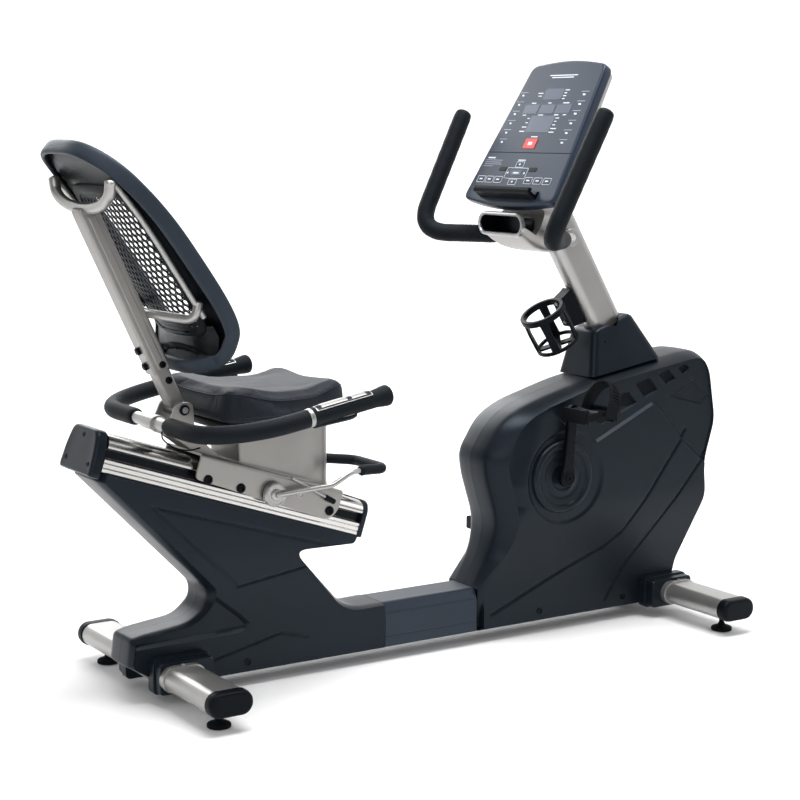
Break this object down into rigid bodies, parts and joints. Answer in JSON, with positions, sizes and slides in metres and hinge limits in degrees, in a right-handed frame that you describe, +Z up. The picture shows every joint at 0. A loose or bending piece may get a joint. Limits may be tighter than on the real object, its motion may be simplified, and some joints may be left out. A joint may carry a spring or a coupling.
{
  "type": "exercise bike",
  "caption": "Recumbent exercise bike with a sliding seat on a sloping rail, a mesh backrest, side grips, a crank with strapped pedals, and a tilted console on a mast.",
  "frame": {"origin": "bottom centre of the whole bike, on the floor", "axes": "+X forward, from the seat to the console; +Y to the rider's left; +Z up"},
  "size_m": [1.7883, 0.688, 1.4134],
  "materials": {
    "navy_plastic": "satin",
    "beam_plastic": "brushed",
    "black_plastic": "satin",
    "foam": "matt",
    "vinyl": "fine grain",
    "slate_plastic": "satin",
    "silver_paint": "satin",
    "chrome": "polished",
    "steel": "satin",
    "rubber": "matt"
  },
  "bodies": {
    "frame": {"front_cover_right": "navy_plastic", "front_cover_left": "navy_plastic", "rear_cover_right": "navy_plastic", "rear_cover_left": "navy_plastic", "mast_cover": "navy_plastic", "crank_trim_right": "navy_plastic", "crank_trim_left": "navy_plastic", "rail_cap_rear": "navy_plastic", "rail_cap_front": "navy_plastic", "beam_cover": "beam_plastic", "rear_stabiliser_cap_right": "black_plastic", "rear_stabiliser_cap_left": "black_plastic", "front_stabiliser_cap_right": "black_plastic", "front_stabiliser_cap_left": "black_plastic", "reading_ledge": "black_plastic", "bottle_holder": "black_plastic", "handlebar_grip_right": "foam", "handlebar_grip_left": "foam", "console_front": "slate_plastic", "rear_stabiliser": "silver_paint", "front_stabiliser": "silver_paint", "console_mast": "silver_paint", "console_back": "silver_paint", "console_housing": "silver_paint", "handlebar": "silver_paint", "seat_rail": "chrome", "main_frame": "steel", "drive_belt": "rubber"},
    "crank": {"crank_axle": "steel", "drive_pulley": "black_plastic", "crank_arm_right": "black_plastic", "crank_arm_left": "black_plastic"},
    "pedal_right": {"pedal_right": "black_plastic", "pedal_strap_right": "rubber"},
    "pedal_left": {"pedal_left": "black_plastic", "pedal_strap_left": "rubber"},
    "flywheel": {"flywheel": "steel"},
    "foot_rear_right": {"rear_levelling_foot_right": "rubber"},
    "foot_rear_left": {"rear_levelling_foot_left": "rubber"},
    "foot_front_right": {"front_levelling_foot_right": "rubber"},
    "foot_front_left": {"front_levelling_foot_left": "rubber"},
    "carriage": {"seat_carriage": "silver_paint", "seat_pan": "black_plastic", "seat_cushion": "vinyl", "seat_handlebar": "silver_paint", "seat_grip_right": "foam", "seat_grip_left": "foam", "pulse_plate_right": "chrome", "pulse_plate_left": "chrome", "sensor_cable": "rubber"},
    "roller_rear_right": {"rear_roller_right": "rubber"},
    "roller_rear_left": {"rear_roller_left": "rubber"},
    "roller_front_right": {"front_roller_right": "rubber"},
    "roller_front_left": {"front_roller_left": "rubber"},
    "lever": {"lock_lever": "steel", "lock_lever_grip": "foam"},
    "backrest": {"backrest_frame": "silver_paint", "backrest_post": "silver_paint", "backrest_shell": "vinyl", "backrest_mesh": "black_plastic"}
  },
  "joints": [
    {"name": "crank_spin", "type": "hinge", "parent": "frame", "child": "crank", "pos_m": [0.38595, 0, 0.4], "axis": [0, 1, 0], "continuous": true},
    {"name": "pedal_right_spin", "type": "hinge", "parent": "crank", "child": "pedal_right", "pos_m": [0.40033, -0.18, 0.56437], "axis": [0, 1, 0], "continuous": true},
    {"name": "pedal_left_spin", "type": "hinge", "parent": "crank", "child": "pedal_left", "pos_m": [0.37157, 0.18, 0.23563], "axis": [0, 1, 0], "continuous": true},
    {"name": "flywheel_spin", "type": "hinge", "parent": "frame", "child": "flywheel", "pos_m": [0.55795, 0, 0.255], "axis": [0, 1, 0], "continuous": true},
    {"name": "foot_turn_rear_right", "type": "hinge", "parent": "frame", "child": "foot_rear_right", "pos_m": [-0.66605, -0.281, 0.02], "axis": [0, 0, 1], "continuous": true},
    {"name": "foot_turn_rear_left", "type": "hinge", "parent": "frame", "child": "foot_rear_left", "pos_m": [-0.66605, 0.281, 0.02], "axis": [0, 0, 1], "continuous": true},
    {"name": "foot_turn_front_right", "type": "hinge", "parent": "frame", "child": "foot_front_right", "pos_m": [0.75595, -0.281, 0.02], "axis": [0, 0, 1], "continuous": true},
    {"name": "foot_turn_front_left", "type": "hinge", "parent": "frame", "child": "foot_front_left", "pos_m": [0.75595, 0.281, 0.02], "axis": [0, 0, 1], "continuous": true},
    {"name": "seat_slide", "type": "slide", "parent": "frame", "child": "carriage", "axis": [0.9483, 0, -0.3173], "range_m": [-0.2, 0.07]},
    {"name": "roller_rear_right_spin", "type": "hinge", "parent": "carriage", "child": "roller_rear_right", "pos_m": [-0.58591, -0.066, 0.48983], "axis": [0, 1, 0], "continuous": true},
    {"name": "roller_rear_left_spin", "type": "hinge", "parent": "carriage", "child": "roller_rear_left", "pos_m": [-0.58591, 0.066, 0.48983], "axis": [0, 1, 0], "continuous": true},
    {"name": "roller_front_right_spin", "type": "hinge", "parent": "carriage", "child": "roller_front_right", "pos_m": [-0.27866, -0.066, 0.38702], "axis": [0, 1, 0], "continuous": true},
    {"name": "roller_front_left_spin", "type": "hinge", "parent": "carriage", "child": "roller_front_left", "pos_m": [-0.27866, 0.066, 0.38702], "axis": [0, 1, 0], "continuous": true},
    {"name": "lock_lever_lift", "type": "hinge", "parent": "carriage", "child": "lever", "pos_m": [-0.42564, 0, 0.44253], "axis": [0, -1, 0], "range_deg": [0, 18], "stiffness_Nm_per_rad": 2, "springref_deg": -28.65},
    {"name": "backrest_recline", "type": "hinge", "parent": "carriage", "child": "backrest", "pos_m": [-0.61705, 0, 0.64], "axis": [0, 1, 0], "range_deg": [-10, 4]}
  ],
  "couplings": [
    {"joint": "flywheel_spin", "follows": "crank_spin", "ratio": 3.6538}
  ]
}
